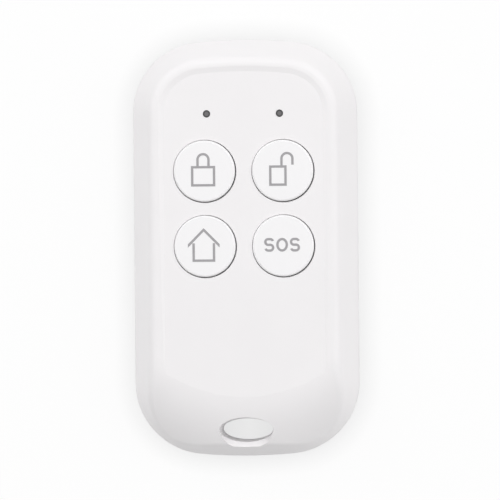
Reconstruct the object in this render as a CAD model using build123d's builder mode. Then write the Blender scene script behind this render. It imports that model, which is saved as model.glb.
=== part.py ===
"""Alarm key fob: a flat white remote with four buttons, two indicator windows and a keyring slot.

It lies on its back. X is across, +Y points to the indicator end, and +Z points out of the buttons.
The origin is the middle of the back face. All lengths are in millimetres.
"""
from build123d import *
import os
from math import asin, cos, radians, sin, sqrt, tan

# Case, outside
body_width = 36.0
body_length = 66.9
body_thickness = 11.0
corner_radius = 11.5
end_bow_radius = 80.0
side_draft = 24.9
front_round = 1.6
rear_round = 2.0
crown_drop = 0.15
slope_length = 10.9
slope_radius = 18.5
slope_turn_angle = 75
slope_wrap_radius = 20.0
crown_steepness = 0.6

# Case, walls and joint
wall = 1.6
panel_wall = 1.6
parting_z = 4.5
lip_height = 0.8
lip_outer_wall = 0.8
lip_gap = 0.05
lip_top_gap = 0.1
seam_groove_height = 0.24
seam_groove_depth = 0.2
cut_overrun = 1.0

# Sunk front panel
panel_depth = 0.2
panel_end_margin = 5.1
panel_side_margin = 5.2
panel_corner_radius = 6.4
panel_bow_radius = 70.0
panel_step_angle = 76.8
panel_run_out = 3.0

# Keyring slot
slot_end_distance = 4.25
slot_half_length = 4.07
slot_half_width = 1.76
slot_draft = 3.5
slot_lip_low_z = 7.36
slot_lip_width = 1.2
slot_lip_angle = 25
slot_rear_round = 0.3
slot_collar_wall = 1.34

# Buttons
button_pitch_x = 12.55
button_pitch_y = 12.04
buttons_middle_y = 6.405
cap_radius = 4.92
cap_ring_gap = 0.125
hole_shift = 0.06
cap_proud = 0.3
cap_edge_round = 0.3
cap_roof = 1.2
cap_skirt = 1.2
cap_flange_reach = 0.85
cap_flange_thickness = 0.8
cap_play = 0.1
cap_post_radius = 1.2
cap_lug_width = 2.0
cap_lug_reach = 0.9
cap_guide_gap = 0.15
cap_guide_wall = 0.75
cap_travel = 0.3
hole_edge_round = 0.12

# Printed legends, drawn about the middle of the cap
stroke = 0.38
print_depth = 0.15
print_proud = 0.02
print_shift_x = -0.18
padlock_width = 3.5
padlock_height = 2.9
padlock_low = -2.27
shackle_radius = 0.88
shackle_rise = 1.2
open_padlock_width = 2.43
open_padlock_shift = -0.57
open_shackle_shift = 0.9
open_shackle_rise = 1.27
open_shackle_leg = 0.98
house_half_width = 1.63
house_base_y = -2.29
house_wall_top_y = 0.3
roof_half_span = 2.54
roof_apex_y = 2.64
roof_end_y = 0.07
letter_height = 2.2
letter_s_width = 1.62
letter_o_width = 1.88
letter_pitch = 2.06
letter_middle_y = 0.15
letter_end_angle = 70

# Indicator windows and lamps
light_pitch_x = 11.68
light_row_rise = 9.15
light_pipe_radius = 0.57
light_pipe_gap = 0.03
light_pipe_sunk = 0.1
light_pipe_root_radius = 0.95
led_length = 1.6
led_width = 1.2
led_height = 0.8
led_gap = 0.1

# Coin cell and its bay
cell_radius = 10.0
cell_thickness = 3.2
cell_middle_y = 12.0
cell_gap = 0.25
cell_edge_round = 0.4
cell_crimp_height = 3.0
cell_seat_depth = 0.8
cell_seal_radius = 8.95
cell_cap_radius = 8.6
cell_cap_round = 0.5
cell_mark_length = 4.0
cell_mark_width = 0.5
cell_mark_depth = 0.08
bay_wall = 0.85
deck_thickness = 0.9
deck_side_margin = 1.1
bay_window_width = 5.6

# Battery door
door_thickness = 1.4
door_gap = 0.1
door_overlap = 0.95
door_flange_reach = 1.0
door_flange_thickness = 0.55
door_end_margin = 2.0
catch_length = 6.0
catch_width = 0.6
catch_height = 0.18
grip_count = 5
grip_pitch = 1.5
grip_width = 0.7
grip_depth = 0.35
grip_length = 11.0
grip_end_distance = 4.5
arrow_length = 3.0
arrow_width = 5.0
arrow_gap = 2.5

# Circuit board
contact_space = 0.8
board_thickness = 1.0
board_margin = 1.5
board_end_gap = 0.6
board_corner_radius = 1.5
peg_radius = 0.75
peg_gap = 0.1
peg_height = 0.6
peg_seat_wall = 1.0
peg_side_distance = 6.2
peg_end_distance = 4.1
post_radius = 1.3
post_gap = 0.05

# Case screws and snap hooks
screw_side_distance = 6.8
screw_end_distance = 11.65
screw_radius = 0.9
screw_length = 6.8
screw_head_radius = 1.6
screw_head_height = 1.0
screw_head_sunk = 0.5
screw_head_gap = 0.3
screw_hole_gap = 0.1
screw_thread_gap = 0.02
screw_point_gap = 0.3
screw_cross_width = 0.4
screw_cross_length = 2.0
screw_cross_depth = 0.5
boss_wall = 1.4
boss_gap = 0.05
hook_end_distance = 15.45
hook_width = 3.0
hook_thickness = 0.9
hook_gap = 0.3
hook_low_z = 2.6
hook_root_height = 4.3
hook_barb_reach = 0.45
hook_barb_height = 0.9
hook_window_gap = 0.2

# Tact switches
switch_side = 5.2
switch_height = 1.5
switch_base_height = 0.9
switch_cover_height = 0.25
switch_floor = 0.25
switch_cover_side = 4.9
plunger_radius = 1.2
plunger_gap = 0.15
plunger_length = 0.9
terminal_width = 0.6
terminal_thickness = 0.15
terminal_reach = 0.9
terminal_rise = 0.5
terminal_pitch = 3.6

# Battery contacts
contact_thickness = 0.2
contact_width = 4.0
contact_gap = 0.03
negative_half_length = 6.0
negative_foot_length = 1.6
negative_flat_length = 1.5
positive_foot_length = 1.8
positive_drop = 2.7

# Radio parts on the board
chip_length = 4.9
chip_width = 3.9
chip_height = 1.4
chip_stand_off = 0.1
chip_edge = 0.2
lead_count = 4
lead_pitch = 1.27
lead_width = 0.4
lead_thickness = 0.2
lead_reach = 1.0
lead_rise = 0.7
resonator_side = 4.6
resonator_height = 1.3
resonator_lid_margin = 0.3
resonator_lid_height = 0.2
transistor_length = 2.9
transistor_width = 1.3
transistor_height = 1.0
radio_pitch = 7.0
passive_length = 1.6
passive_width = 0.8
passive_height = 0.5
passive_pitch = 2.4
passive_count = 4
passive_gap = 1.3
track_width = 0.9
track_thickness = 0.04
track_margin = 0.5
track_corner_radius = 1.2

# Places worked out from the sizes above
top_y = body_length / 2
low_y = -body_length / 2
panel_z = body_thickness - panel_depth
ceiling_z = panel_z - panel_wall
panel_top_y = top_y - panel_end_margin
panel_half_width = body_width / 2 - panel_side_margin
slope_start_y = low_y + slope_length
panel_low_y = slope_start_y - panel_run_out
crown_radius = (panel_top_y - slope_start_y) ** 2 / (2 * crown_drop)
slot_y = low_y + slot_end_distance
slot_spread = (body_thickness - parting_z) * tan(radians(slot_draft))
slot_lip_top_z = slot_lip_low_z + slot_lip_width * tan(radians(slot_lip_angle))
upper_row_y = buttons_middle_y + button_pitch_y / 2
lower_row_y = upper_row_y - button_pitch_y
light_y = upper_row_y + light_row_rise
cell_low_z = door_thickness + door_gap
cell_top_z = cell_low_z + cell_thickness
deck_top_z = door_thickness + door_gap + deck_thickness
board_low_z = cell_top_z + contact_space
board_top_z = board_low_z + board_thickness
bay_radius = cell_radius + cell_gap
door_half_width = bay_radius + door_overlap
door_low_y = cell_middle_y - bay_radius - door_end_margin
door_flange_half_width = door_half_width + door_flange_reach
door_flange_low_y = door_low_y - door_flange_reach
screw_x = body_width / 2 - screw_side_distance
screw_y = low_y + screw_end_distance
boss_radius = screw_radius + screw_hole_gap + boss_wall
board_low_y = screw_y + boss_radius + board_end_gap
board_half_width = body_width / 2 - wall - board_margin
peg_x = body_width / 2 - peg_side_distance
peg_y = board_low_y + peg_end_distance
peg_seat_radius = peg_radius + peg_seat_wall
plunger_top_z = board_top_z + switch_height
cap_top_z = panel_z + cap_proud
flange_top_z = ceiling_z - cap_play
flange_low_z = flange_top_z - cap_flange_thickness
cap_flange_radius = cap_radius + cap_flange_reach
switch_half = switch_side / 2
radio_y = (lower_row_y - switch_half + board_low_y) / 2

button_places = {
    "arm": (-button_pitch_x / 2, upper_row_y),
    "disarm": (button_pitch_x / 2, upper_row_y),
    "home": (-button_pitch_x / 2, lower_row_y),
    "sos": (button_pitch_x / 2, lower_row_y),
}
light_places = {"left": -light_pitch_x / 2, "right": light_pitch_x / 2}
screw_places = [(-screw_x, screw_y), (screw_x, screw_y)]
peg_places = [(-peg_x, peg_y), (peg_x, peg_y)]
post_places = [(0, (upper_row_y + lower_row_y) / 2), (0, light_y)]


def bowed_end(half_width, end_y, corner, bow):
    """Where a slightly bowed end meets its round corners, and the height of the corners' centres."""
    corner_x = half_width - corner
    bow_centre_y = end_y - bow
    corner_rise = sqrt((bow - corner) ** 2 - corner_x**2)
    reach = bow / (bow - corner)
    return corner_x * reach, bow_centre_y + corner_rise * reach, bow_centre_y + corner_rise


def outline(inset, height):
    """The fob's plan outline, drawn in by inset: straight sides, round corners and bowed ends."""
    half_width = body_width / 2 - inset
    end_y = top_y - inset
    corner = corner_radius - inset
    touch_x, touch_y, corner_y = bowed_end(half_width, end_y, corner, end_bow_radius - inset)
    with BuildSketch(Plane.XY.offset(height)) as plan:
        with BuildLine():
            top = ThreePointArc((-touch_x, touch_y), (0, end_y), (touch_x, touch_y))
            TangentArc(top @ 1, (half_width, corner_y), tangent=top % 1)
            right = Line((half_width, corner_y), (half_width, -corner_y))
            TangentArc(right @ 1, (touch_x, -touch_y), tangent=right % 1)
            low = ThreePointArc((touch_x, -touch_y), (0, -end_y), (-touch_x, -touch_y))
            TangentArc(low @ 1, (-half_width, -corner_y), tangent=low % 1)
            left = Line((-half_width, -corner_y), (-half_width, corner_y))
            TangentArc(left @ 1, top @ 0, tangent=left % 1)
        make_face()
    return plan.sketch


def side_profile(inset, side_x):
    """The fob from the side, cut through at side_x: a nearly flat crown that runs over into the end slope.

    The slope starts farther up at the sides than in the middle, so that it wraps round the corners.
    """
    crown = crown_radius - inset
    crown_centre_z = body_thickness - crown_radius
    far_y = top_y + cut_overrun
    far_z = crown_centre_z + sqrt(crown**2 - (far_y - panel_top_y) ** 2)
    start_y = slope_start_y + side_x**2 / (2 * slope_wrap_radius)
    lean = asin((panel_top_y - start_y) / crown_radius)
    half_lean = lean / 2
    middle = (panel_top_y - crown * sin(half_lean), crown_centre_z + crown * cos(half_lean))
    crown_end = (panel_top_y - crown * sin(lean), crown_centre_z + crown * cos(lean))
    with BuildSketch(Plane.YZ.offset(side_x)) as side:
        with BuildLine():
            top = ThreePointArc((far_y, far_z), middle, crown_end)
            slope = JernArc(top @ 1, top % 1, slope_radius - inset, slope_turn_angle)
            slope_end_y = (slope @ 1).X
            Polyline(slope @ 1, (slope_end_y, -body_thickness), (far_y, -body_thickness), (far_y, far_z))
        make_face()
    return side.sketch


def fob_block(inset):
    """The whole fob as one sharp-edged solid, with every face drawn in by inset.

    The sides stand upright below the parting line and lean in above it.
    """
    half_block = body_width / 2 + cut_overrun
    lean_z = parting_z - inset * tan(radians(side_draft / 2))
    lean_in = (body_thickness - lean_z) * tan(radians(side_draft))
    with BuildPart() as crown_block:
        loft(sections=[side_profile(inset, side_x) for side_x in (-half_block, 0, half_block)])
    with BuildPart() as block:
        extrude(outline(inset, inset), amount=lean_z - inset)
        loft(sections=[outline(inset, lean_z), outline(inset + lean_in, body_thickness)], ruled=True)
        add(crown_block.part, mode=Mode.INTERSECT)
    return block.part


def panel_outline():
    """The floor of the sunk panel, which runs out past the start of the slope."""
    touch_x, touch_y, corner_y = bowed_end(
        panel_half_width, panel_top_y, panel_corner_radius, panel_bow_radius
    )
    with BuildSketch(Plane.XY.offset(panel_z)) as plan:
        with BuildLine():
            top = ThreePointArc((-touch_x, touch_y), (0, panel_top_y), (touch_x, touch_y))
            right = TangentArc(top @ 1, (panel_half_width, corner_y), tangent=top % 1)
            left = TangentArc((-panel_half_width, corner_y), top @ 0, tangent=(0, 1))
            Polyline(
                right @ 1,
                (panel_half_width, panel_low_y),
                (-panel_half_width, panel_low_y),
                left @ 0,
            )
        make_face()
    return plan.sketch


def slot_outline(grow, height):
    """The keyring slot's oval, grown by that much."""
    with BuildSketch(Plane((0, slot_y, height))) as plan:
        Ellipse(slot_half_length + grow, slot_half_width + grow)
    return plan.sketch


def slot_lip_outline(width, height):
    """The keyring slot's oval, stretched by that width towards the fob's end."""
    with BuildSketch(Plane((0, slot_y - width / 2, height))) as plan:
        Ellipse(slot_half_length, slot_half_width + width / 2)
    return plan.sketch


def box_between(low, high):
    """A plain block between two corners, for cuts and ribs."""
    size = [high_end - low_end for low_end, high_end in zip(low, high)]
    with BuildPart(Plane(low)) as block:
        Box(*size, align=(Align.MIN, Align.MIN, Align.MIN))
    return block.part


with BuildPart() as rounded_block:
    add(fob_block(0))
    crown_edges = [
        edge for face in rounded_block.faces() if face.normal_at().Z > crown_steepness for edge in face.edges()
    ]
    rim_edges = [
        edge
        for edge in crown_edges
        if sum((other.center() - edge.center()).length < print_proud for other in crown_edges) == 1
    ]
    fillet(rim_edges, radius=front_round)
    fillet(rounded_block.edges().group_by(Axis.Z)[0], radius=rear_round)
outer_block = rounded_block.part
with BuildPart() as inner_block:
    add(fob_block(wall))
    split(bisect_by=Plane.XY.offset(ceiling_z), keep=Keep.BOTTOM)
cavity = inner_block.part

# Band in the wall where the rear shell's lip stands in the front shell
with BuildPart() as lip_band:
    add(fob_block(lip_outer_wall + lip_gap))
    add(cavity, mode=Mode.SUBTRACT)
    split(bisect_by=Plane.XY.offset(parting_z + lip_height), keep=Keep.BOTTOM)
    split(bisect_by=Plane.XY.offset(parting_z), keep=Keep.TOP)

with BuildPart() as lip_groove:
    add(fob_block(lip_outer_wall))
    add(fob_block(wall + lip_gap), mode=Mode.SUBTRACT)
    split(bisect_by=Plane.XY.offset(parting_z + lip_height + lip_top_gap), keep=Keep.BOTTOM)

# Groove that the two shells leave between them all round, half in each
seam_low_z = parting_z - seam_groove_height / 2
with BuildPart() as seam_groove:
    extrude(outline(-cut_overrun, seam_low_z), amount=seam_groove_height)
    extrude(outline(seam_groove_depth, seam_low_z), amount=seam_groove_height, mode=Mode.SUBTRACT)

# Front shell
hook_x = body_width / 2 - wall - hook_gap
hook_y = top_y - hook_end_distance
front_boss_low_z = parting_z + boss_gap
guide_reach = cap_flange_radius + cap_lug_reach + cap_guide_gap

with BuildPart() as front_room:
    add(cavity)
    extrude(slot_outline(slot_collar_wall, parting_z), amount=body_thickness, mode=Mode.SUBTRACT)
    with BuildSketch(Plane.XY.offset(front_boss_low_z)):
        with Locations(screw_places):
            Circle(boss_radius)
    extrude(amount=body_thickness, mode=Mode.SUBTRACT)
    with BuildSketch(Plane.XY.offset(board_top_z + post_gap)):
        with Locations(post_places):
            Circle(post_radius)
        with Locations(peg_places):
            Circle(peg_seat_radius)
            Circle(peg_radius + peg_gap, mode=Mode.SUBTRACT)
    extrude(amount=body_thickness, mode=Mode.SUBTRACT)
    for button_x, button_y in button_places.values():
        outward = 1 if button_x > 0 else -1
        with BuildSketch(Plane((button_x, button_y, flange_low_z - cap_travel))):
            with Locations((outward * guide_reach, 0)):
                Rectangle(
                    2 * (cap_lug_reach + cap_guide_wall),
                    cap_lug_width + 2 * (cap_guide_gap + cap_guide_wall),
                )
            Circle(cap_flange_radius + cap_guide_gap, mode=Mode.SUBTRACT)
            Rectangle(2 * guide_reach, cap_lug_width + 2 * cap_guide_gap, mode=Mode.SUBTRACT)
        extrude(amount=body_thickness, mode=Mode.SUBTRACT)

with BuildPart() as front_shell:
    add(outer_block)
    split(bisect_by=Plane.XY.offset(parting_z), keep=Keep.TOP)
    add(front_room.part, mode=Mode.SUBTRACT)
    add(lip_groove.part, mode=Mode.SUBTRACT)
    add(seam_groove.part, mode=Mode.SUBTRACT)
    extrude(
        panel_outline(),
        amount=panel_depth + cut_overrun,
        taper=-panel_step_angle,
        mode=Mode.SUBTRACT,
    )
    loft(
        sections=[slot_outline(0, parting_z), slot_outline(slot_spread, body_thickness)],
        ruled=True,
        mode=Mode.SUBTRACT,
    )
    # Lip scooped into the bar outside the slot, so that a ring slips in from the front
    loft(
        sections=[
            slot_lip_outline(0, slot_lip_low_z),
            slot_lip_outline(slot_lip_width, slot_lip_top_z),
        ],
        ruled=True,
        mode=Mode.SUBTRACT,
    )
    extrude(
        slot_lip_outline(slot_lip_width, slot_lip_top_z),
        amount=body_thickness,
        mode=Mode.SUBTRACT,
    )
    with BuildSketch(Plane.XY.offset(ceiling_z - cut_overrun)):
        with Locations([(x + hole_shift, y - hole_shift) for x, y in button_places.values()]):
            Circle(cap_radius + cap_ring_gap)
    extrude(amount=body_thickness, mode=Mode.SUBTRACT)
    hole_rims = (
        front_shell.edges()
        .filter_by(GeomType.CIRCLE)
        .filter_by(lambda edge: abs(edge.radius - cap_radius - cap_ring_gap) < cap_ring_gap / 2)
        .filter_by(lambda edge: abs(edge.arc_center.Z - panel_z) < hole_edge_round)
    )
    fillet(hole_rims, radius=hole_edge_round)
    with BuildSketch(Plane.XY.offset(ceiling_z - cut_overrun)):
        with Locations([(light_x, light_y) for light_x in light_places.values()]):
            Circle(light_pipe_radius + light_pipe_gap)
    extrude(amount=body_thickness, mode=Mode.SUBTRACT)
    with BuildSketch(Plane.XY.offset(front_boss_low_z)):
        with Locations(screw_places):
            Circle(screw_radius + screw_thread_gap)
    extrude(
        amount=screw_head_sunk + screw_head_height + screw_length + screw_point_gap - front_boss_low_z,
        mode=Mode.SUBTRACT,
    )
    for side in (-1, 1):
        with BuildSketch(Plane((side * (hook_x - hook_thickness / 2), hook_y, hook_low_z))):
            Rectangle(hook_thickness, hook_width)
        extrude(amount=hook_root_height)
        with BuildSketch(Plane.XZ.offset(-hook_y)):
            with BuildLine():
                Polyline(
                    (side * hook_x, hook_low_z),
                    (side * (hook_x + hook_gap + hook_barb_reach), hook_low_z + hook_barb_height / 2),
                    (side * (hook_x + hook_gap + hook_barb_reach), hook_low_z + hook_barb_height),
                    (side * hook_x, hook_low_z + hook_barb_height),
                    close=True,
                )
            make_face()
        extrude(amount=hook_width / 2, both=True)
front_shell.part.label = "front_shell"

# Rear shell
counterbore_z = screw_head_sunk + screw_head_height
positive_y = cell_middle_y - cell_radius - contact_gap

with BuildPart() as rear_room:
    add(cavity)
    extrude(slot_outline(slot_collar_wall, 0), amount=body_thickness, mode=Mode.SUBTRACT)
    with BuildSketch(Plane.XY):
        with Locations(screw_places):
            Circle(boss_radius)
    extrude(amount=body_thickness, mode=Mode.SUBTRACT)
    deck_half_width = door_flange_half_width + deck_side_margin
    deck_low_y = door_flange_low_y - deck_side_margin
    add(
        box_between((-deck_half_width, deck_low_y, 0), (deck_half_width, top_y, deck_top_z)),
        mode=Mode.SUBTRACT,
    )
    with BuildSketch(Plane((0, cell_middle_y, 0))):
        Circle(bay_radius + bay_wall)
    extrude(amount=board_low_z, mode=Mode.SUBTRACT)
    with BuildSketch(Plane.XY):
        with Locations(peg_places):
            Circle(peg_seat_radius)
    extrude(amount=board_low_z, mode=Mode.SUBTRACT)

with BuildPart() as rear_shell:
    add(outer_block)
    add(rear_room.part, mode=Mode.SUBTRACT)
    split(bisect_by=Plane.XY.offset(parting_z), keep=Keep.BOTTOM)
    add(seam_groove.part, mode=Mode.SUBTRACT)
    add(lip_band.part)
    with BuildSketch(Plane((0, cell_middle_y, parting_z))):
        Circle(bay_radius + bay_wall)
    extrude(amount=board_low_z - parting_z)
    with BuildSketch(Plane.XY.offset(parting_z)):
        with Locations(peg_places):
            Circle(peg_seat_radius)
    extrude(amount=board_low_z - parting_z)
    with BuildSketch(Plane.XY.offset(parting_z)):
        with Locations(peg_places):
            Circle(peg_radius)
    extrude(amount=board_top_z + peg_height - parting_z)
    # Door opening, with its grooves on three sides, then the round hole that the cell drops through
    add(
        box_between(
            (-door_half_width - door_gap, door_low_y - door_gap, 0),
            (door_half_width + door_gap, top_y, door_thickness + door_gap),
        ),
        mode=Mode.SUBTRACT,
    )
    groove_low_z = door_thickness - door_flange_thickness - door_gap
    add(
        box_between(
            (-door_flange_half_width - door_gap, door_flange_low_y - door_gap, groove_low_z),
            (door_flange_half_width + door_gap, top_y, door_thickness + door_gap),
        ),
        mode=Mode.SUBTRACT,
    )
    add(
        box_between(
            (
                -catch_length / 2 - door_gap,
                door_flange_low_y - door_gap,
                groove_low_z - catch_height,
            ),
            (
                catch_length / 2 + door_gap,
                door_flange_low_y + catch_width + door_gap,
                groove_low_z,
            ),
        ),
        mode=Mode.SUBTRACT,
    )
    with BuildSketch(Plane((0, cell_middle_y, 0))):
        Circle(bay_radius)
    extrude(amount=body_thickness, mode=Mode.SUBTRACT)
    # Window in the bay's wall for the positive contact, which stands beside the cell
    add(
        box_between(
            (-bay_window_width / 2, positive_y - positive_foot_length - door_gap, wall),
            (bay_window_width / 2, cell_middle_y, body_thickness),
        ),
        mode=Mode.SUBTRACT,
    )
    with BuildSketch(Plane.XY):
        with Locations(screw_places):
            Circle(screw_head_radius + screw_head_gap)
    extrude(amount=counterbore_z, mode=Mode.SUBTRACT)
    with BuildSketch(Plane.XY):
        with Locations(screw_places):
            Circle(screw_radius + screw_hole_gap)
    extrude(amount=parting_z, mode=Mode.SUBTRACT)
    extrude(slot_outline(0, 0), amount=body_thickness, mode=Mode.SUBTRACT)
    slot_rear_rims = (
        rear_shell.edges()
        .filter_by(GeomType.ELLIPSE)
        .filter_by(lambda edge: edge.bounding_box().max.Z < slot_rear_round)
    )
    fillet(slot_rear_rims, radius=slot_rear_round)
    for side in (-1, 1):
        wall_x = body_width / 2 - wall
        window_x = wall_x + hook_barb_reach + hook_window_gap
        add(
            box_between(
                (
                    min(side * wall_x, side * window_x),
                    hook_y - hook_width / 2 - hook_window_gap,
                    hook_low_z - hook_window_gap,
                ),
                (
                    max(side * wall_x, side * window_x),
                    hook_y + hook_width / 2 + hook_window_gap,
                    hook_low_z + hook_barb_height + hook_window_gap,
                ),
            ),
            mode=Mode.SUBTRACT,
        )
rear_shell.part.label = "rear_shell"

# Battery door: a plate with a flange on three sides, rounded off with the case at its open end
door_flange_low_z = door_thickness - door_flange_thickness
with BuildPart() as door_flange:
    add(outer_block)
    add(
        box_between(
            (-door_flange_half_width, door_flange_low_y, door_flange_low_z),
            (door_flange_half_width, top_y, door_thickness),
        ),
        mode=Mode.INTERSECT,
    )

with BuildPart() as battery_door:
    add(outer_block)
    add(
        box_between((-door_half_width, door_low_y, 0), (door_half_width, top_y, door_thickness)),
        mode=Mode.INTERSECT,
    )
    add(door_flange.part)
    add(
        box_between(
            (-catch_length / 2, door_flange_low_y, door_flange_low_z - catch_height),
            (catch_length / 2, door_flange_low_y + catch_width, door_flange_low_z),
        )
    )
    grip_low_y = door_low_y + grip_end_distance
    with BuildSketch(Plane.XY):
        for number in range(grip_count):
            with Locations((0, grip_low_y + number * grip_pitch)):
                SlotOverall(grip_length, grip_width)
    extrude(amount=grip_depth, mode=Mode.SUBTRACT)
    arrow_low_y = grip_low_y + (grip_count - 1) * grip_pitch + arrow_gap
    with BuildSketch(Plane.XY):
        with BuildLine():
            Polyline(
                (-arrow_width / 2, arrow_low_y),
                (arrow_width / 2, arrow_low_y),
                (0, arrow_low_y + arrow_length),
                close=True,
            )
        make_face()
    extrude(amount=grip_depth, mode=Mode.SUBTRACT)
battery_door.part.label = "battery_door"

# Case screws, as one group
with BuildPart() as case_screws:
    with BuildSketch(Plane.XY.offset(screw_head_sunk)):
        with Locations(screw_places):
            Circle(screw_head_radius)
    extrude(amount=screw_head_height)
    with BuildSketch(Plane.XY.offset(counterbore_z)):
        with Locations(screw_places):
            Circle(screw_radius)
    extrude(amount=screw_length)
    chamfer(case_screws.edges().group_by(Axis.Z)[-1], length=screw_radius / 2)
    fillet(case_screws.edges().group_by(Axis.Z)[0], radius=screw_cross_width)
    with BuildSketch(Plane.XY.offset(screw_head_sunk)):
        with Locations(screw_places):
            Rectangle(screw_cross_length, screw_cross_width)
            Rectangle(screw_cross_width, screw_cross_length)
    extrude(amount=screw_cross_depth, mode=Mode.SUBTRACT)
case_screws.part.label = "case_screws"


def closed_padlock(plane):
    """A shut padlock in outline."""
    body_middle_y = padlock_low + padlock_height / 2
    body_top_y = padlock_low + padlock_height
    shackle_y = body_top_y + shackle_rise
    with BuildSketch(plane) as drawing:
        with Locations((0, body_middle_y)):
            Rectangle(padlock_width + stroke, padlock_height + stroke)
            Rectangle(padlock_width - stroke, padlock_height - stroke, mode=Mode.SUBTRACT)
        with BuildLine():
            Line((-shackle_radius, body_top_y), (-shackle_radius, shackle_y))
            CenterArc((0, shackle_y), shackle_radius, 0, 180)
            Line((shackle_radius, body_top_y), (shackle_radius, shackle_y))
        trace(line_width=stroke)
    return drawing.sketch


def open_padlock(plane):
    """A padlock whose shackle stands on its left leg and hangs free on the right."""
    body_middle_y = padlock_low + padlock_height / 2
    body_top_y = padlock_low + padlock_height
    shackle_y = body_top_y + open_shackle_rise
    left_x = open_shackle_shift - shackle_radius
    right_x = open_shackle_shift + shackle_radius
    with BuildSketch(plane) as drawing:
        with Locations((open_padlock_shift, body_middle_y)):
            Rectangle(open_padlock_width + stroke, padlock_height + stroke)
            Rectangle(open_padlock_width - stroke, padlock_height - stroke, mode=Mode.SUBTRACT)
        with BuildLine():
            Line((left_x, body_top_y), (left_x, shackle_y))
            CenterArc((open_shackle_shift, shackle_y), shackle_radius, 0, 180)
            Line((right_x, shackle_y - open_shackle_leg), (right_x, shackle_y))
        trace(line_width=stroke)
    return drawing.sketch


def house(plane):
    """A small house: a roof over three sides of a square."""
    wall_middle_y = (house_wall_top_y + house_base_y) / 2
    wall_height = house_wall_top_y - house_base_y
    roof_slope = (roof_apex_y - roof_end_y) / roof_half_span
    roof_half_depth = stroke / 2 * sqrt(1 + roof_slope**2)
    with BuildSketch(plane) as drawing:
        with Locations((0, wall_middle_y)):
            Rectangle(2 * house_half_width + stroke, wall_height + stroke)
        with Locations((0, wall_middle_y + stroke)):
            Rectangle(2 * house_half_width - stroke, wall_height + stroke, mode=Mode.SUBTRACT)
        with BuildLine():
            Polyline(
                (-roof_half_span, roof_end_y - roof_half_depth),
                (0, roof_apex_y - roof_half_depth),
                (roof_half_span, roof_end_y - roof_half_depth),
                (roof_half_span, roof_end_y + roof_half_depth),
                (0, roof_apex_y + roof_half_depth),
                (-roof_half_span, roof_end_y + roof_half_depth),
                close=True,
            )
        make_face()
    return drawing.sketch


def distress_letters(plane):
    """The plain distress call SOS, in round letters drawn here from arcs."""
    with BuildSketch(plane) as drawing:
        for middle_x in (-letter_pitch, letter_pitch):
            bowl = (letter_height - stroke) / 4
            straight = (letter_s_width - stroke) / 2 - bowl
            high = letter_middle_y + bowl
            low = letter_middle_y - bowl
            with BuildLine():
                CenterArc((middle_x + straight, high), bowl, 90 - letter_end_angle, letter_end_angle)
                Line((middle_x - straight, high + bowl), (middle_x + straight, high + bowl))
                CenterArc((middle_x - straight, high), bowl, 90, 180)
                Line((middle_x - straight, letter_middle_y), (middle_x + straight, letter_middle_y))
                CenterArc((middle_x + straight, low), bowl, -90, 180)
                Line((middle_x - straight, low - bowl), (middle_x + straight, low - bowl))
                CenterArc((middle_x - straight, low), bowl, -90 - letter_end_angle, letter_end_angle)
            trace(line_width=stroke)
        with Locations((0, letter_middle_y)):
            Ellipse(letter_o_width / 2, letter_height / 2)
            Ellipse(letter_o_width / 2 - stroke, letter_height / 2 - stroke, mode=Mode.SUBTRACT)
    return drawing.sketch


legends = {
    "arm": closed_padlock,
    "disarm": open_padlock,
    "home": house,
    "sos": distress_letters,
}


def button_cap(button_x, button_y, legend):
    """A hollow round cap with a flange below, a post to its switch and the print let into its top."""
    outward = 1 if button_x > 0 else -1
    with BuildPart() as cap:
        with BuildSketch(Plane((button_x, button_y, flange_low_z))):
            Circle(cap_radius)
        extrude(amount=cap_top_z - flange_low_z)
        fillet(cap.edges().group_by(Axis.Z)[-1], radius=cap_edge_round)
        with BuildSketch(Plane((button_x, button_y, flange_low_z))):
            Circle(cap_flange_radius)
            with Locations((outward * cap_flange_radius, 0)):
                Rectangle(2 * cap_lug_reach, cap_lug_width)
        extrude(amount=cap_flange_thickness)
        with BuildSketch(Plane((button_x, button_y, flange_low_z))):
            Circle(cap_radius - cap_skirt)
        extrude(amount=cap_top_z - cap_roof - flange_low_z, mode=Mode.SUBTRACT)
        with BuildSketch(Plane((button_x, button_y, plunger_top_z))):
            Circle(cap_post_radius)
        extrude(amount=cap_top_z - cap_roof - plunger_top_z)
        extrude(legend, amount=print_depth, mode=Mode.SUBTRACT)
    return cap.part


def tact_switch_base(button_x, button_y):
    """The moulded base, with the well that the plunger works in."""
    with BuildPart() as base:
        with BuildSketch(Plane((button_x, button_y, board_top_z))):
            RectangleRounded(switch_side, switch_side, terminal_rise)
        extrude(amount=switch_base_height)
        with BuildSketch(Plane((button_x, button_y, board_top_z + switch_floor))):
            Circle(plunger_radius + plunger_gap)
        extrude(amount=switch_base_height, mode=Mode.SUBTRACT)
    return base.part


def tact_switch_cover(button_x, button_y):
    """The pressed steel cover that holds the plunger in."""
    with BuildPart() as cover:
        with BuildSketch(Plane((button_x, button_y, board_top_z + switch_base_height))):
            RectangleRounded(switch_cover_side, switch_cover_side, terminal_rise)
            Circle(plunger_radius + plunger_gap, mode=Mode.SUBTRACT)
        extrude(amount=switch_cover_height)
    return cover.part


def tact_switch_terminals(button_x, button_y):
    """Four bent feet, soldered to the board and standing against the base."""
    with BuildPart() as terminals:
        for side in (-1, 1):
            for row_y in (button_y - terminal_pitch / 2, button_y + terminal_pitch / 2):
                inner_x = button_x + side * switch_half
                riser_x = inner_x + side * terminal_thickness
                toe_x = inner_x + side * terminal_reach
                foot_z = board_top_z + terminal_thickness
                rise_z = board_top_z + terminal_rise
                with BuildSketch(Plane.XZ.offset(-row_y)):
                    with BuildLine():
                        Polyline(
                            (inner_x, board_top_z),
                            (toe_x, board_top_z),
                            (toe_x, foot_z),
                            (riser_x, foot_z),
                            (riser_x, rise_z),
                            (inner_x, rise_z),
                            close=True,
                        )
                    make_face()
                extrude(amount=terminal_width / 2, both=True)
    return terminals.part


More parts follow.
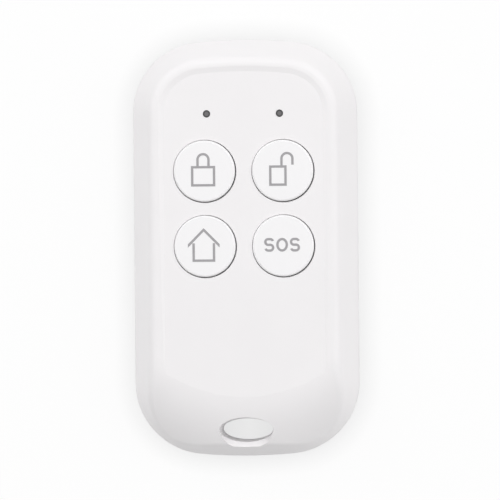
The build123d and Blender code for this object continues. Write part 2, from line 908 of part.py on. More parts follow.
def switch_plunger(button_x, button_y):
    """The round plunger that the cap's post pushes."""
    with BuildPart() as plunger:
        with BuildSketch(Plane((button_x, button_y, plunger_top_z - plunger_length))):
            Circle(plunger_radius)
        extrude(amount=plunger_length)
        fillet(plunger.edges().group_by(Axis.Z)[-1], radius=plunger_gap)
    return plunger.part


button_pieces = {}
for key, (button_x, button_y) in button_places.items():
    print_plane = Plane((button_x + print_shift_x, button_y, cap_top_z - print_depth))
    drawing = legends[key](print_plane)
    with BuildPart() as legend:
        extrude(drawing, amount=print_depth + print_proud)
    button_pieces[f"{key}_button"] = button_cap(button_x, button_y, drawing)
    button_pieces[f"{key}_legend"] = legend.part
    button_pieces[f"{key}_switch_plunger"] = switch_plunger(button_x, button_y)
    button_pieces[f"{key}_switch_base"] = tact_switch_base(button_x, button_y)
    button_pieces[f"{key}_switch_cover"] = tact_switch_cover(button_x, button_y)
    button_pieces[f"{key}_switch_terminals"] = tact_switch_terminals(button_x, button_y)
for name, piece in button_pieces.items():
    piece.label = name

# Light pipes and lamps
light_pieces = {}
for side_name, light_x in light_places.items():
    pipe_low_z = board_top_z + led_height + led_gap
    with BuildPart() as light_pipe:
        with BuildSketch(Plane((light_x, light_y, pipe_low_z))):
            Circle(light_pipe_root_radius)
        extrude(amount=ceiling_z - pipe_low_z)
        with BuildSketch(Plane((light_x, light_y, pipe_low_z))):
            Circle(light_pipe_radius)
        extrude(amount=panel_z - light_pipe_sunk - pipe_low_z)
    light_pieces[f"{side_name}_light_pipe"] = light_pipe.part
    with BuildPart() as led:
        with BuildSketch(Plane((light_x, light_y, board_top_z))):
            Rectangle(led_length, led_width)
        extrude(amount=led_height)
        chamfer(led.edges().group_by(Axis.Z)[-1], length=led_gap)
    light_pieces[f"{side_name}_led"] = led.part
for name, piece in light_pieces.items():
    piece.label = name

# Circuit board
with BuildPart() as circuit_board:
    with BuildSketch(Plane.XY.offset(board_low_z)) as board_plan:
        add(outline(wall + board_margin, board_low_z))
        with Locations((0, board_low_y)):
            Rectangle(body_width, body_length, align=(Align.CENTER, Align.MAX), mode=Mode.SUBTRACT)
        low_corners = board_plan.vertices().group_by(Axis.Y)[0]
        fillet(low_corners, radius=board_corner_radius)
        with Locations(peg_places):
            Circle(peg_radius + peg_gap, mode=Mode.SUBTRACT)
    extrude(amount=board_thickness)
circuit_board.part.label = "circuit_board"

# Coin cell: the can is positive and faces the door, and the cap is negative and faces the board
cell_crimp_z = cell_low_z + cell_crimp_height
cell_seat_z = cell_top_z - cell_seat_depth
with BuildPart() as coin_cell_can:
    with BuildSketch(Plane((0, cell_middle_y, cell_low_z))):
        Circle(cell_radius)
    extrude(amount=cell_crimp_height)
    fillet(coin_cell_can.edges(), radius=cell_edge_round)
    with BuildSketch(Plane((0, cell_middle_y, cell_seat_z))):
        Circle(cell_seal_radius)
    extrude(amount=cell_seat_depth, mode=Mode.SUBTRACT)
    with BuildSketch(Plane((0, cell_middle_y, cell_low_z))):
        Rectangle(cell_mark_length, cell_mark_width)
        Rectangle(cell_mark_width, cell_mark_length)
    extrude(amount=cell_mark_depth, mode=Mode.SUBTRACT)
coin_cell_can.part.label = "coin_cell_can"

with BuildPart() as coin_cell_seal:
    with BuildSketch(Plane((0, cell_middle_y, cell_seat_z))):
        Circle(cell_seal_radius)
        Circle(cell_cap_radius, mode=Mode.SUBTRACT)
    extrude(amount=cell_crimp_z - cell_seat_z)
coin_cell_seal.part.label = "coin_cell_seal"

with BuildPart() as coin_cell_cap:
    with BuildSketch(Plane((0, cell_middle_y, cell_seat_z))):
        Circle(cell_cap_radius)
    extrude(amount=cell_seat_depth)
    fillet(coin_cell_cap.edges().group_by(Axis.Z)[-1], radius=cell_cap_round)
coin_cell_cap.part.label = "coin_cell_cap"

# Battery contacts, both soldered to the underside of the board
half_contact = contact_thickness / 2
contact_top_z = board_low_z - half_contact
negative_low_z = cell_top_z + contact_gap + half_contact
with BuildPart() as negative_contact:
    with BuildSketch(Plane.YZ):
        with BuildLine():
            Polyline(
                (cell_middle_y - negative_half_length, contact_top_z),
                (cell_middle_y - negative_half_length + negative_foot_length, contact_top_z),
                (cell_middle_y - negative_flat_length, negative_low_z),
                (cell_middle_y + negative_flat_length, negative_low_z),
                (cell_middle_y + negative_half_length - negative_foot_length, contact_top_z),
                (cell_middle_y + negative_half_length, contact_top_z),
            )
        trace(line_width=contact_thickness)
    extrude(amount=contact_width / 2, both=True)
negative_contact.part.label = "negative_contact"

with BuildPart() as positive_contact:
    with BuildSketch(Plane.YZ):
        with Locations((positive_y, board_low_z)):
            Rectangle(
                contact_thickness + positive_foot_length,
                contact_thickness,
                align=(Align.MAX, Align.MAX),
            )
            Rectangle(contact_thickness, positive_drop, align=(Align.MAX, Align.MAX))
    extrude(amount=contact_width / 2, both=True)
positive_contact.part.label = "positive_contact"


def chip_leads(middle_x, count, pitch, half_width, rise):
    """Bent leads down both long sides of a chip, each a foot on the board and a riser."""
    for number in range(count):
        lead_x = middle_x + (number - (count - 1) / 2) * pitch
        for side in (-1, 1):
            with BuildSketch(Plane.YZ.offset(lead_x)) as foot:
                inner_y = radio_y + side * half_width
                bend_y = inner_y + side * (lead_reach / 2 - lead_thickness)
                riser_y = inner_y + side * lead_reach / 2
                toe_y = inner_y + side * lead_reach
                foot_z = board_top_z + lead_thickness
                rise_z = board_top_z + rise
                with BuildLine():
                    Polyline(
                        (inner_y, rise_z),
                        (riser_y, rise_z),
                        (riser_y, foot_z),
                        (toe_y, foot_z),
                        (toe_y, board_top_z),
                        (bend_y, board_top_z),
                        (bend_y, rise_z - lead_thickness),
                        (inner_y, rise_z - lead_thickness),
                        close=True,
                    )
                make_face()
            yield foot.sketch


# Encoder chip on the left, resonator in the middle, radio transistor on the right
with BuildPart() as encoder_chip:
    with BuildSketch(Plane((-radio_pitch, radio_y, board_top_z + chip_stand_off))):
        Rectangle(chip_length, chip_width)
    extrude(amount=chip_height)
    chamfer(encoder_chip.edges().group_by(Axis.Z)[-1], length=chip_edge)
    with BuildSketch(
        Plane(
            (
                -radio_pitch - chip_length / 2 + lead_reach,
                radio_y - chip_width / 2 + lead_reach,
                board_top_z + chip_stand_off + chip_height,
            )
        )
    ):
        Circle(chip_edge)
    extrude(amount=-chip_stand_off, mode=Mode.SUBTRACT)
encoder_chip.part.label = "encoder_chip"

with BuildPart() as encoder_leads:
    for lead in chip_leads(-radio_pitch, lead_count, lead_pitch, chip_width / 2, lead_rise):
        extrude(lead, amount=lead_width / 2, both=True)
encoder_leads.part.label = "encoder_leads"

with BuildPart() as resonator:
    with BuildSketch(Plane((0, radio_y, board_top_z))):
        RectangleRounded(resonator_side, resonator_side, resonator_lid_margin)
    extrude(amount=resonator_height - resonator_lid_height)
    with BuildSketch(Plane((0, radio_y, board_top_z + resonator_height - resonator_lid_height))):
        RectangleRounded(
            resonator_side - 2 * resonator_lid_margin,
            resonator_side - 2 * resonator_lid_margin,
            resonator_lid_margin,
        )
    extrude(amount=resonator_lid_height)
resonator.part.label = "resonator"

with BuildPart() as radio_transistor:
    with BuildSketch(Plane((radio_pitch, radio_y, board_top_z + chip_stand_off))):
        Rectangle(transistor_length, transistor_width)
    extrude(amount=transistor_height)
    chamfer(radio_transistor.edges().group_by(Axis.Z)[-1], length=chip_edge)
    for lead in chip_leads(radio_pitch, 2, 2 * lead_pitch - lead_width, transistor_width / 2, lead_rise):
        extrude(lead, amount=lead_width / 2, both=True)
radio_transistor.part.label = "radio_transistor"

# Resistors in the row above the chips, and capacitors in the row below
passive_rows = {
    "resistors": radio_y + chip_width / 2 + passive_gap,
    "capacitors": radio_y - chip_width / 2 - passive_gap,
}
passive_pieces = {}
for name, row_y in passive_rows.items():
    with BuildPart() as row:
        with BuildSketch(Plane((radio_pitch / 2, row_y, board_top_z))):
            with GridLocations(passive_pitch, 0, passive_count, 1):
                Rectangle(passive_width, passive_length)
        extrude(amount=passive_height)
    passive_pieces[name] = row.part
    passive_pieces[name].label = name

# Antenna: a copper track round the lower end of the board
track_x = board_half_width - track_margin - track_width / 2
track_low_y = board_low_y + track_margin + track_width / 2
track_top_y = lower_row_y - switch_half
with BuildPart() as antenna_track:
    with BuildSketch(Plane.XY.offset(board_top_z)):
        with BuildLine():
            FilletPolyline(
                (-track_x, track_top_y),
                (-track_x, track_low_y),
                (track_x, track_low_y),
                (track_x, track_top_y),
                radius=track_corner_radius,
            )
        trace(line_width=track_width)
    extrude(amount=track_thickness)
antenna_track.part.label = "antenna_track"

os.makedirs("parts", exist_ok=True)
named_pieces = {
    "front_shell": front_shell.part,
    "rear_shell": rear_shell.part,
    "battery_door": battery_door.part,
    "case_screws": case_screws.part,
    "circuit_board": circuit_board.part,
    "coin_cell_can": coin_cell_can.part,
    "coin_cell_seal": coin_cell_seal.part,
    "coin_cell_cap": coin_cell_cap.part,
    "negative_contact": negative_contact.part,
    "positive_contact": positive_contact.part,
    "encoder_chip": encoder_chip.part,
    "encoder_leads": encoder_leads.part,
    "resonator": resonator.part,
    "radio_transistor": radio_transistor.part,
    "antenna_track": antenna_track.part,
    **passive_pieces,
    **light_pieces,
    **button_pieces,
}
for name, piece in named_pieces.items():
    export_step(piece, f"parts/{name}.step")
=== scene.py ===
"""Finishes, light and camera for a white alarm key fob with four keys.

Lengths are in metres, in the frame of the CAD model: X is across, +Y points to the indicator end, and +Z
points out of the keys.
"""
import math

import bpy
from mathutils import Matrix, Vector


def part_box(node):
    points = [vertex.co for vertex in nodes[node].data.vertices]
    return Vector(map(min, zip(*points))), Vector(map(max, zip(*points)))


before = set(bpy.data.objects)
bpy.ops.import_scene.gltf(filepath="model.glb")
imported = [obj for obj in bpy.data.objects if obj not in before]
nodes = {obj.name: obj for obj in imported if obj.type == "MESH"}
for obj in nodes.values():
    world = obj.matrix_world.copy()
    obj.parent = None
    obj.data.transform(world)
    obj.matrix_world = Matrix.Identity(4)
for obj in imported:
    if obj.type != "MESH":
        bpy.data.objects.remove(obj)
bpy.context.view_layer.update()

MM = 0.001


# Colours and nodes


def linear(hex_colour):
    """An sRGB hex colour as the linear RGBA that shaders take."""
    channels = [int(hex_colour[place:place + 2], 16) / 255 for place in (1, 3, 5)]
    straight = [
        channel / 12.92 if channel <= 0.04045 else ((channel + 0.055) / 1.055) ** 2.4
        for channel in channels
    ]
    return (*straight, 1.0)


def add_node(tree, kind, inputs=None, **settings):
    """Adds a node, sets its settings, and gives each of its inputs a value or a link."""
    node = tree.nodes.new(kind)
    for name, value in settings.items():
        setattr(node, name, value)
    for name, value in (inputs or {}).items():
        socket = node.inputs[name]
        if isinstance(value, bpy.types.NodeSocket):
            tree.links.new(value, socket)
        else:
            socket.default_value = value
    return node


def new_material(name):
    """A material whose node tree is still empty."""
    material = bpy.data.materials.new(name)
    material.use_nodes = True
    material.node_tree.nodes.clear()
    return material


# A colour Mix node has one set of sockets for each kind of value, so its colour sockets go by number
MIX_SHARE = 0
MIX_FIRST = 6
MIX_SECOND = 7
MIX_RESULT = 2

# Nearly all of a noise pattern lies between these two values
NOISE_SPAN = {"From Min": 0.3, "From Max": 0.7}


def way_from_middle(tree):
    """How far a point is from the upright through the middle of its piece, in widths of the piece."""
    where = add_node(tree, "ShaderNodeTexCoord")
    centred = add_node(
        tree,
        "ShaderNodeMapping",
        {"Vector": where.outputs["Generated"], "Location": (-0.5, -0.5, 0), "Scale": (1, 1, 0)},
    )
    way = add_node(tree, "ShaderNodeVectorMath", {0: centred.outputs["Vector"]}, operation="LENGTH")
    return way.outputs["Value"]


# Finishes


def moulded_plastic(name, colours, roughness, ior, grain_size, grain_depth):
    """Injection-moulded plastic: the mould's fine erosion grain, and slow changes in tone and gloss.

    A real mould's grit is 0.02 to 0.05 mm across. Each finish draws it several times coarser, so that it
    shows at all.
    """
    tone_patch = 7 * MM
    gloss_patch = 3 * MM
    gloss_change = 0.03
    first_colour, second_colour = colours
    material = new_material(name)
    tree = material.node_tree
    place = add_node(tree, "ShaderNodeTexCoord").outputs["Object"]
    tone = add_node(tree, "ShaderNodeTexNoise", {"Vector": place, "Scale": 1 / tone_patch, "Detail": 2.0})
    colour = add_node(
        tree,
        "ShaderNodeMix",
        {
            MIX_SHARE: tone.outputs["Fac"],
            MIX_FIRST: linear(first_colour),
            MIX_SECOND: linear(second_colour),
        },
        data_type="RGBA",
    )
    gloss = add_node(tree, "ShaderNodeTexNoise", {"Vector": place, "Scale": 1 / gloss_patch, "Detail": 4.0})
    sheen = add_node(
        tree,
        "ShaderNodeMapRange",
        {
            **NOISE_SPAN,
            "Value": gloss.outputs["Fac"],
            "To Min": roughness - gloss_change,
            "To Max": roughness + gloss_change,
        },
    )
    grain = add_node(tree, "ShaderNodeTexNoise", {"Vector": place, "Scale": 1 / grain_size, "Detail": 3.0})
    grit = add_node(tree, "ShaderNodeBump", {"Height": grain.outputs["Fac"], "Distance": grain_depth})
    shader = add_node(
        tree,
        "ShaderNodeBsdfPrincipled",
        {
            "Base Color": colour.outputs[MIX_RESULT],
            "Roughness": sheen.outputs["Result"],
            "IOR": ior,
            "Normal": grit.outputs["Normal"],
        },
    )
    add_node(tree, "ShaderNodeOutputMaterial", {"Surface": shader.outputs["BSDF"]})
    return material


def plated_metal(name, colours, roughness, line_stretch, line_size, line_depth):
    """Rolled and plated metal: fine lines along the way it was rolled, and a little uneven gloss."""
    tone_patch = 2 * MM
    gloss_change = 0.06
    first_colour, second_colour = colours
    material = new_material(name)
    tree = material.node_tree
    place = add_node(tree, "ShaderNodeTexCoord").outputs["Object"]
    tone = add_node(tree, "ShaderNodeTexNoise", {"Vector": place, "Scale": 1 / tone_patch, "Detail": 2.0})
    colour = add_node(
        tree,
        "ShaderNodeMix",
        {
            MIX_SHARE: tone.outputs["Fac"],
            MIX_FIRST: linear(first_colour),
            MIX_SECOND: linear(second_colour),
        },
        data_type="RGBA",
    )
    rolled = add_node(tree, "ShaderNodeMapping", {"Vector": place, "Scale": line_stretch})
    lines = add_node(
        tree,
        "ShaderNodeTexNoise",
        {"Vector": rolled.outputs["Vector"], "Scale": 1 / line_size, "Detail": 3.0},
    )
    sheen = add_node(
        tree,
        "ShaderNodeMapRange",
        {
            **NOISE_SPAN,
            "Value": lines.outputs["Fac"],
            "To Min": roughness - gloss_change,
            "To Max": roughness + gloss_change,
        },
    )
    scores = add_node(tree, "ShaderNodeBump", {"Height": lines.outputs["Fac"], "Distance": line_depth})
    shader = add_node(
        tree,
        "ShaderNodeBsdfPrincipled",
        {
            "Base Color": colour.outputs[MIX_RESULT],
            "Metallic": 1.0,
            "Roughness": sheen.outputs["Result"],
            "Normal": scores.outputs["Normal"],
        },
    )
    add_node(tree, "ShaderNodeOutputMaterial", {"Surface": shader.outputs["BSDF"]})
    return material


def pad_print():
    """Grey pad-printing ink: dry and matt, a touch uneven where the pad lifted off."""
    mottle_patch = 0.25 * MM
    ink_relief = 0.002 * MM
    material = new_material("grey_pad_print_ink")
    tree = material.node_tree
    place = add_node(tree, "ShaderNodeTexCoord").outputs["Object"]
    mottle = add_node(
        tree,
        "ShaderNodeTexNoise",
        {"Vector": place, "Scale": 1 / mottle_patch, "Detail": 3.0},
    ).outputs["Fac"]
    colour = add_node(
        tree,
        "ShaderNodeMix",
        {MIX_SHARE: mottle, MIX_FIRST: linear("#9B999C"), MIX_SECOND: linear("#A9A7A9")},
        data_type="RGBA",
    )
    dryness = add_node(
        tree,
        "ShaderNodeMapRange",
        {**NOISE_SPAN, "Value": mottle, "To Min": 0.5, "To Max": 0.64},
    )
    edge = add_node(tree, "ShaderNodeBump", {"Height": mottle, "Distance": ink_relief})
    shader = add_node(
        tree,
        "ShaderNodeBsdfPrincipled",
        {
            "Base Color": colour.outputs[MIX_RESULT],
            "Roughness": dryness.outputs["Result"],
            "IOR": 1.5,
            "Normal": edge.outputs["Normal"],
        },
    )
    add_node(tree, "ShaderNodeOutputMaterial", {"Surface": shader.outputs["BSDF"]})
    return material


def smoked_acrylic():
    """Smoked acrylic light pipe: polished, with a painted shade that makes it near black at its rim and a
    painted light that makes it paler down its middle."""
    painted_light_middle_share = 0.12
    painted_shade_rim_share = 0.28
    haze_patch = 0.4 * MM
    haze_depth = 0.004 * MM
    material = new_material("smoked_acrylic")
    tree = material.node_tree
    # Painted light and shade: the colour runs from pale down the pipe's middle to near black at its rim,
    # standing in for light falling down its domed middle
    painted_rim_shade = add_node(
        tree,
        "ShaderNodeMapRange",
        {"Value": way_from_middle(tree), "From Min": painted_light_middle_share, "From Max": painted_shade_rim_share},
    )
    colour = add_node(
        tree,
        "ShaderNodeMix",
        {MIX_SHARE: painted_rim_shade.outputs["Result"], MIX_FIRST: linear("#6A686A"), MIX_SECOND: linear("#2E2D2E")},
        data_type="RGBA",
    )
    place = add_node(tree, "ShaderNodeTexCoord").outputs["Object"]
    haze = add_node(tree, "ShaderNodeTexNoise", {"Vector": place, "Scale": 1 / haze_patch, "Detail": 2.0})
    ripple = add_node(tree, "ShaderNodeBump", {"Height": haze.outputs["Fac"], "Distance": haze_depth})
    shader = add_node(
        tree,
        "ShaderNodeBsdfPrincipled",
        {
            "Base Color": colour.outputs[MIX_RESULT],
            "Roughness": 0.12,
            "IOR": 1.49,
            "Normal": ripple.outputs["Normal"],
        },
    )
    add_node(tree, "ShaderNodeOutputMaterial", {"Surface": shader.outputs["BSDF"]})
    return material


def lamp_package():
    """Lamp body: a white moulded frame round a glossy yellow phosphor window."""
    window_edge_share = 0.3
    frame_edge_share = 0.34
    material = new_material("lamp_package")
    tree = material.node_tree
    frame_share = add_node(
        tree,
        "ShaderNodeMapRange",
        {"Value": way_from_middle(tree), "From Min": window_edge_share, "From Max": frame_edge_share},
    ).outputs["Result"]
    colour = add_node(
        tree,
        "ShaderNodeMix",
        {MIX_SHARE: frame_share, MIX_FIRST: linear("#E6D46A"), MIX_SECOND: linear("#F2F0EA")},
        data_type="RGBA",
    )
    gloss = add_node(tree, "ShaderNodeMapRange", {"Value": frame_share, "To Min": 0.2, "To Max": 0.45})
    shader = add_node(
        tree,
        "ShaderNodeBsdfPrincipled",
        {
            "Base Color": colour.outputs[MIX_RESULT],
            "Roughness": gloss.outputs["Result"],
            "IOR": 1.5,
        },
    )
    add_node(tree, "ShaderNodeOutputMaterial", {"Surface": shader.outputs["BSDF"]})
    return material


def solder_mask_board():
    """Green solder mask over etched copper: the tracks stand up a little and read lighter, and the cut
    edges show the bare glass laminate."""
    track_width = 0.12 * MM
    track_length = 5.08 * MM
    track_pitch = 1.27 * MM
    track_height = 0.02 * MM
    weave_size = 0.3 * MM
    weave_depth = 0.004 * MM
    material = new_material("green_solder_mask")
    tree = material.node_tree
    place = add_node(tree, "ShaderNodeTexCoord").outputs["Object"]
    tracks = add_node(
        tree,
        "ShaderNodeTexBrick",
        {
            "Vector": place,
            "Scale": 1.0,
            "Color1": linear("#000000"),
            "Color2": linear("#000000"),
            "Mortar": linear("#FFFFFF"),
            "Mortar Size": track_width,
            "Mortar Smooth": 0.3,
            "Brick Width": track_length,
            "Row Height": track_pitch,
        },
    ).outputs["Color"]
    weave = add_node(
        tree,
        "ShaderNodeTexNoise",
        {"Vector": place, "Scale": 1 / weave_size, "Detail": 3.0},
    ).outputs["Fac"]
    mask = add_node(
        tree,
        "ShaderNodeMix",
        {MIX_SHARE: tracks, MIX_FIRST: linear("#1C5A38"), MIX_SECOND: linear("#2F7A4E")},
        data_type="RGBA",
    )
    shape = add_node(tree, "ShaderNodeNewGeometry")
    facing = add_node(tree, "ShaderNodeSeparateXYZ", {"Vector": shape.outputs["Normal"]})
    upright = add_node(tree, "ShaderNodeMath", {0: facing.outputs["Z"]}, operation="ABSOLUTE")
    flat = add_node(
        tree,
        "ShaderNodeMapRange",
        {"Value": upright.outputs["Value"], "From Min": 0.4, "From Max": 0.6},
    )
    colour = add_node(
        tree,
        "ShaderNodeMix",
        {
            MIX_SHARE: flat.outputs["Result"],
            MIX_FIRST: linear("#9A9663"),
            MIX_SECOND: mask.outputs[MIX_RESULT],
        },
        data_type="RGBA",
    )
    sheen = add_node(
        tree,
        "ShaderNodeMapRange",
        {**NOISE_SPAN, "Value": weave, "To Min": 0.28, "To Max": 0.4},
    )
    cloth = add_node(tree, "ShaderNodeBump", {"Height": weave, "Distance": weave_depth})
    copper = add_node(
        tree,
        "ShaderNodeBump",
        {"Height": tracks, "Distance": track_height, "Normal": cloth.outputs["Normal"]},
    )
    shader = add_node(
        tree,
        "ShaderNodeBsdfPrincipled",
        {
            "Base Color": colour.outputs[MIX_RESULT],
            "Roughness": sheen.outputs["Result"],
            "IOR": 1.5,
            "Normal": copper.outputs["Normal"],
        },
    )
    add_node(tree, "ShaderNodeOutputMaterial", {"Surface": shader.outputs["BSDF"]})
    return material


def turned_steel():
    """Nickel-plated coin cell steel: bright, with the fine rings that polishing left round its middle."""
    ring_spacing = 2.2 * MM
    ring_depth = 0.0015 * MM
    blotch_patch = 4 * MM
    low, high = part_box("coin_cell_can")
    middle = (low + high) / 2
    material = new_material("polished_cell_steel")
    tree = material.node_tree
    place = add_node(tree, "ShaderNodeTexCoord").outputs["Object"]
    centred = add_node(
        tree,
        "ShaderNodeMapping",
        {"Vector": place, "Location": (-middle.x, -middle.y, 0)},
    )
    rings = add_node(
        tree,
        "ShaderNodeTexWave",
        {
            "Vector": centred.outputs["Vector"],
            "Scale": 1 / ring_spacing,
            "Distortion": 1.5,
            "Detail": 3.0,
        },
        wave_type="RINGS",
        rings_direction="Z",
    ).outputs["Fac"]
    blotches = add_node(
        tree,
        "ShaderNodeTexNoise",
        {"Vector": place, "Scale": 1 / blotch_patch, "Detail": 2.0},
    )
    colour = add_node(
        tree,
        "ShaderNodeMix",
        {
            MIX_SHARE: blotches.outputs["Fac"],
            MIX_FIRST: linear("#C2C0BB"),
            MIX_SECOND: linear("#D0CEC9"),
        },
        data_type="RGBA",
    )
    sheen = add_node(
        tree,
        "ShaderNodeMapRange",
        {**NOISE_SPAN, "Value": rings, "To Min": 0.24, "To Max": 0.32},
    )
    polish = add_node(tree, "ShaderNodeBump", {"Height": rings, "Distance": ring_depth})
    shader = add_node(
        tree,
        "ShaderNodeBsdfPrincipled",
        {
            "Base Color": colour.outputs[MIX_RESULT],
            "Metallic": 1.0,
            "Roughness": sheen.outputs["Result"],
            "Normal": polish.outputs["Normal"],
        },
    )
    add_node(tree, "ShaderNodeOutputMaterial", {"Surface": shader.outputs["BSDF"]})
    return material


print_ink = pad_print()
window_acrylic = smoked_acrylic()
lamp_body = lamp_package()
board_mask = solder_mask_board()
cell_steel = turned_steel()

# Satin white ABS from a spark-eroded mould: a soft broad sheen, no sharp reflections
case_abs = moulded_plastic(
    "satin_white_abs",
    colours=("#F4F2F3", "#F1EFF0"),
    roughness=0.46,
    ior=1.53,
    grain_size=0.18 * MM,
    grain_depth=0.0015 * MM,
)

# The keys come from a finer mould, so they are a shade brighter and smoother
key_abs = moulded_plastic(
    "smooth_white_abs",
    colours=("#F8F7F8", "#F6F5F6"),
    roughness=0.36,
    ior=1.53,
    grain_size=0.14 * MM,
    grain_depth=0.0008 * MM,
)

# Nylon seal ring of the cell: dark and slightly waxy
seal_nylon = moulded_plastic(
    "cell_seal_nylon",
    colours=("#4A494E", "#55545A"),
    roughness=0.42,
    ior=1.53,
    grain_size=0.1 * MM,
    grain_depth=0.002 * MM,
)

# Glass-filled nylon of the switch bases: dark grey and dry, with a coarse grain
switch_nylon = moulded_plastic(
    "filled_nylon",
    colours=("#2A2A2C", "#333335"),
    roughness=0.55,
    ior=1.53,
    grain_size=0.15 * MM,
    grain_depth=0.005 * MM,
)

# Unfilled nylon of the plungers: a little paler and smoother
plunger_nylon = moulded_plastic(
    "smooth_nylon",
    colours=("#3A3A3C", "#434345"),
    roughness=0.38,
    ior=1.53,
    grain_size=0.12 * MM,
    grain_depth=0.002 * MM,
)

# Moulded epoxy chip packages: dull black with a coarse sandy grain
chip_epoxy = moulded_plastic(
    "moulded_epoxy",
    colours=("#232325", "#2B2B2E"),
    roughness=0.62,
    ior=1.55,
    grain_size=0.12 * MM,
    grain_depth=0.006 * MM,
)

# Glazed resistor film: black and glassy
resistor_glaze = moulded_plastic(
    "black_glaze",
    colours=("#17171A", "#1F1F23"),
    roughness=0.2,
    ior=1.5,
    grain_size=0.3 * MM,
    grain_depth=0.002 * MM,
)

# Fired ceramic of the capacitors: tan, dry and even
capacitor_ceramic = moulded_plastic(
    "fired_ceramic",
    colours=("#AE906B", "#A28461"),
    roughness=0.55,
    ior=1.6,
    grain_size=0.15 * MM,
    grain_depth=0.003 * MM,
)

# Nickel-plated spring bronze, rolled along X: warm and bright with fine lines
spring_bronze = plated_metal(
    "plated_spring_bronze",
    colours=("#D5CFBD", "#C9C2AE"),
    roughness=0.28,
    line_stretch=(1, 12, 12),
    line_size=1.2 * MM,
    line_depth=0.002 * MM,
)

# Zinc-plated screws: cool grey with a slightly cloudy plating
screw_zinc = plated_metal(
    "zinc_plated_steel",
    colours=("#B4B6B8", "#A3A6A9"),
    roughness=0.34,
    line_stretch=(1, 1, 1),
    line_size=0.3 * MM,
    line_depth=0.003 * MM,
)

# Tin on leads and solder joints: soft bright grey, faintly dimpled as it set
bright_tin = plated_metal(
    "bright_tin",
    colours=("#CFD1D1", "#BFC2C3"),
    roughness=0.3,
    line_stretch=(1, 1, 1),
    line_size=0.25 * MM,
    line_depth=0.004 * MM,
)

# Gold flash on the resonator's lid: pale yellow, nearly even
lid_gold = plated_metal(
    "gold_flashed_lid",
    colours=("#DCC68A", "#D0B877"),
    roughness=0.26,
    line_stretch=(8, 1, 1),
    line_size=0.9 * MM,
    line_depth=0.001 * MM,
)

# Pressed stainless switch covers, with the lines of the strip that they were cut from
cover_steel = plated_metal(
    "pressed_stainless",
    colours=("#C6C7C8", "#B6B8BA"),
    roughness=0.3,
    line_stretch=(1, 14, 1),
    line_size=0.8 * MM,
    line_depth=0.0015 * MM,
)

# Bare copper track: warm and a little tarnished, with a cloudy gloss
bare_copper = plated_metal(
    "tarnished_copper",
    colours=("#C17F55", "#A8683F"),
    roughness=0.38,
    line_stretch=(1, 1, 1),
    line_size=0.6 * MM,
    line_depth=0.003 * MM,
)

KEYS = ("arm", "disarm", "home", "sos")
SIDES = ("left", "right")

finish_of = {
    "front_shell": case_abs,
    "rear_shell": case_abs,
    "battery_door": case_abs,
    "case_screws": screw_zinc,
    "circuit_board": board_mask,
    "coin_cell_can": cell_steel,
    "coin_cell_cap": cell_steel,
    "coin_cell_seal": seal_nylon,
    "negative_contact": spring_bronze,
    "positive_contact": spring_bronze,
    "encoder_chip": chip_epoxy,
    "encoder_leads": bright_tin,
    "radio_transistor": chip_epoxy,
    "resonator": lid_gold,
    "resistors": resistor_glaze,
    "capacitors": capacitor_ceramic,
    "antenna_track": bare_copper,
}
for key in KEYS:
    finish_of[f"{key}_button"] = key_abs
    finish_of[f"{key}_legend"] = print_ink
    finish_of[f"{key}_switch_base"] = switch_nylon
    finish_of[f"{key}_switch_cover"] = cover_steel
    finish_of[f"{key}_switch_plunger"] = plunger_nylon
    finish_of[f"{key}_switch_terminals"] = bright_tin
for side in SIDES:
    finish_of[f"{side}_light_pipe"] = window_acrylic
    finish_of[f"{side}_led"] = lamp_body

for name, node in nodes.items():
    node.data.materials.clear()
    node.data.materials.append(finish_of[name])


# Floor: white paper that the camera sees as nearly pure white, and that still takes the fob's shadow. Close
# to the fob and in its keyring slot its glow falls off to a soft grey, a painted contact shade
PAPER_SIZE = 3.0
PAPER_DROP = 0.02 * MM
PAPER_GLOW = 0.9
CONTACT_SHADE_REACH = 4 * MM
CONTACT_SHADE_LEVEL = 0.78


def seen_directly(tree):
    """1 for what the camera, a reflection or a see-through surface shows, and 0 for light on the object."""
    path = add_node(tree, "ShaderNodeLightPath")
    mirrored = add_node(
        tree,
        "ShaderNodeMath",
        {0: path.outputs["Is Glossy Ray"], 1: path.outputs["Is Transmission Ray"]},
        operation="MAXIMUM",
    )
    seen = add_node(
        tree,
        "ShaderNodeMath",
        {0: path.outputs["Is Camera Ray"], 1: mirrored.outputs["Value"]},
        operation="MAXIMUM",
    )
    return seen.outputs["Value"]


def white_paper():
    """Matt white paper, most of it shown at its own full white, with a painted shade near the fob."""
    material = new_material("white_paper")
    tree = material.node_tree
    matt = add_node(tree, "ShaderNodeBsdfDiffuse", {"Color": linear("#F7F7F7")})
    open_sky = add_node(
        tree,
        "ShaderNodeAmbientOcclusion",
        {"Distance": CONTACT_SHADE_REACH},
        samples=16,
    )
    # Painted shade: ambient occlusion darkens the paper's own glow close to the fob and in its keyring slot
    contact_shade = add_node(
        tree,
        "ShaderNodeMapRange",
        {"Value": open_sky.outputs["AO"], "To Min": CONTACT_SHADE_LEVEL, "To Max": 1.0},
    )
    glow = add_node(
        tree,
        "ShaderNodeEmission",
        {"Color": linear("#FFFFFF"), "Strength": contact_shade.outputs["Result"]},
    )
    share = add_node(
        tree,
        "ShaderNodeMath",
        {0: seen_directly(tree), 1: PAPER_GLOW},
        operation="MULTIPLY",
    )
    both = add_node(
        tree,
        "ShaderNodeMixShader",
        {0: share.outputs["Value"], 1: matt.outputs["BSDF"], 2: glow.outputs["Emission"]},
    )
    add_node(tree, "ShaderNodeOutputMaterial", {"Surface": both.outputs["Shader"]})
    return material


paper_mesh = bpy.data.meshes.new("paper")
half = PAPER_SIZE / 2
paper_mesh.from_pydata(
    [(-half, -half, 0), (half, -half, 0), (half, half, 0), (-half, half, 0)],
    [],
    [(0, 1, 2, 3)],
)
paper = bpy.data.objects.new("paper", paper_mesh)
bpy.context.scene.collection.objects.link(paper)
paper.location.z = -PAPER_DROP
paper_mesh.materials.append(white_paper())

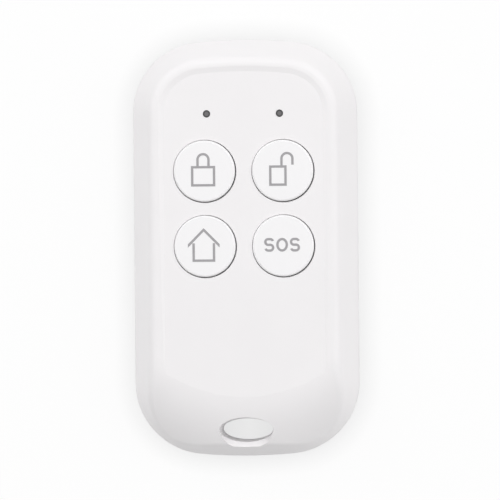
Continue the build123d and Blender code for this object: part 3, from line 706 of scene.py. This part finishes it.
# Light: low soft boxes on the right and the upper left, faint ones overhead and on the left, and an even
# white room. Each box has its bearing from +X and its height over the paper, in degrees, and its watts
LIGHT_DISTANCE = 0.8
BOX_SIZE = 0.7
ROOM_STRENGTH = 0.345
soft_boxes = {
    "overhead": (0, 90, 0.3),
    "right": (0, 40, 2.2),
    "upper_right": (45, 40, 1.4),
    "upper_left": (135, 40, 2.8),
    "left": (200, 40, 0.72),
}
for name, (bearing, height, watts) in soft_boxes.items():
    lamp_data = bpy.data.lights.new(f"{name}_soft_box", "AREA")
    lamp_data.shape = "SQUARE"
    lamp_data.size = BOX_SIZE
    lamp_data.energy = watts
    lamp = bpy.data.objects.new(f"{name}_soft_box", lamp_data)
    bpy.context.scene.collection.objects.link(lamp)
    turn = Matrix.Rotation(math.radians(bearing), 3, "Z") @ Matrix.Rotation(math.radians(-height), 3, "Y")
    towards = turn @ Vector((1, 0, 0))
    lamp.location = towards * LIGHT_DISTANCE
    lamp.rotation_euler = towards.to_track_quat("Z", "Y").to_euler()

room = bpy.data.worlds.new("white_room")
bpy.context.scene.world = room
room.use_nodes = True
room_tree = room.node_tree
room_tree.nodes.clear()
light_only = add_node(
    room_tree,
    "ShaderNodeBackground",
    {"Color": linear("#FFFFFF"), "Strength": ROOM_STRENGTH},
)
backdrop = add_node(room_tree, "ShaderNodeBackground", {"Color": linear("#FFFFFF"), "Strength": 1.0})
chosen = add_node(
    room_tree,
    "ShaderNodeMixShader",
    {
        0: seen_directly(room_tree),
        1: light_only.outputs["Background"],
        2: backdrop.outputs["Background"],
    },
)
add_node(room_tree, "ShaderNodeOutputWorld", {"Surface": chosen.outputs["Shader"]})

# Camera: a long lens almost square above the fob, a little round to its right side and its far end
PICTURE_PIXELS = 500
PICTURE_SPAN = 80.36 * MM
CASE_MIDDLE_PIXEL = (246.1, 247.6)
CASE_WIDEST_Z = 4.5 * MM
CAMERA_DISTANCE = 1.5
FARTHEST_SEEN = 10.0
LEAN_TO_RIGHT = math.radians(2.8)
LEAN_TO_FAR_END = math.radians(1.1)
PICTURE_TURN = math.radians(0.53)
SENSOR_WIDTH = 36.0

lean = (
    Matrix.Rotation(LEAN_TO_RIGHT, 3, "Y")
    @ Matrix.Rotation(-LEAN_TO_FAR_END, 3, "X")
    @ Matrix.Rotation(-PICTURE_TURN, 3, "Z")
)
pixel = PICTURE_SPAN / PICTURE_PIXELS
middle_right = (CASE_MIDDLE_PIXEL[0] - PICTURE_PIXELS / 2) * pixel
middle_up = (PICTURE_PIXELS / 2 - CASE_MIDDLE_PIXEL[1]) * pixel
place = Vector((0, 0, CASE_WIDEST_Z)) + lean @ Vector((-middle_right, -middle_up, CAMERA_DISTANCE))
camera_data = bpy.data.cameras.new("camera")
camera_data.sensor_width = SENSOR_WIDTH
camera_data.lens = SENSOR_WIDTH * CAMERA_DISTANCE / PICTURE_SPAN
camera_data.clip_end = FARTHEST_SEEN
camera = bpy.data.objects.new("camera", camera_data)
bpy.context.scene.collection.objects.link(camera)
camera.matrix_world = Matrix.Translation(place) @ lean.to_4x4()
bpy.context.scene.camera = camera

bpy.context.scene.view_settings.view_transform = "Standard"
